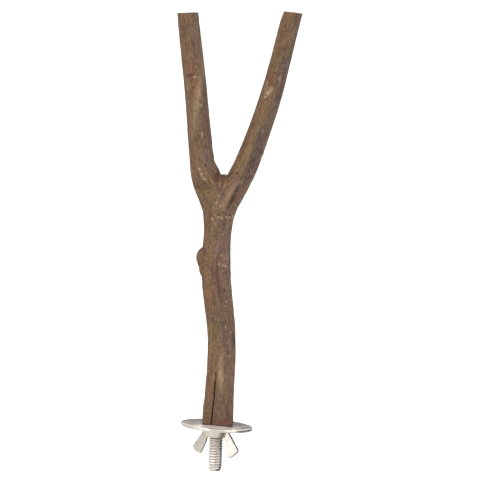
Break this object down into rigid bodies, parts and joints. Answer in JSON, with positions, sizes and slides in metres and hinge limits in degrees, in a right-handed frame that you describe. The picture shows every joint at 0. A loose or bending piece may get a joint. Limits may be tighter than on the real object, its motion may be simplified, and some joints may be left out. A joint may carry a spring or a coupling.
{
  "type": "branch bird perch",
  "caption": "Forked natural branch perch with a sawn foot on a threaded stud, clamped to cage wires by a wide washer and a wing nut.",
  "frame": {"origin": "centre of the branch's sawn foot on the stud's axis, where the washer clamps up against it", "axes": "+Z along the stud, up the branch; +X towards the right-hand limb, so that the fork is seen square on along +Y"},
  "size_m": [0.0577, 0.0332, 0.2138],
  "materials": {
    "weathered_wood": "peeled and weathered branch, fine lengthwise streaks, pits and small cracks",
    "zinc": "bright zinc plate with a soft shine"
  },
  "bodies": {
    "branch": {"stem": "weathered_wood", "left_limb": "weathered_wood", "right_limb": "weathered_wood", "hanger_bolt": "zinc"},
    "washer": {"washer": "zinc"},
    "wing_nut": {"wing_nut": "zinc"}
  },
  "joints": [
    {"name": "washer_slide", "type": "slide", "parent": "branch", "child": "washer", "axis": [0, 0, -1], "range_m": [0, 0.0127]},
    {"name": "nut_spin", "type": "hinge", "parent": "washer", "child": "wing_nut", "pos_m": [0, 0, 0], "axis": [0, 0, -1], "range_deg": [0, 3600]}
  ],
  "couplings": [
    {"joint": "washer_slide", "follows": "nut_spin", "m_per_rad": 0.00020213}
  ]
}
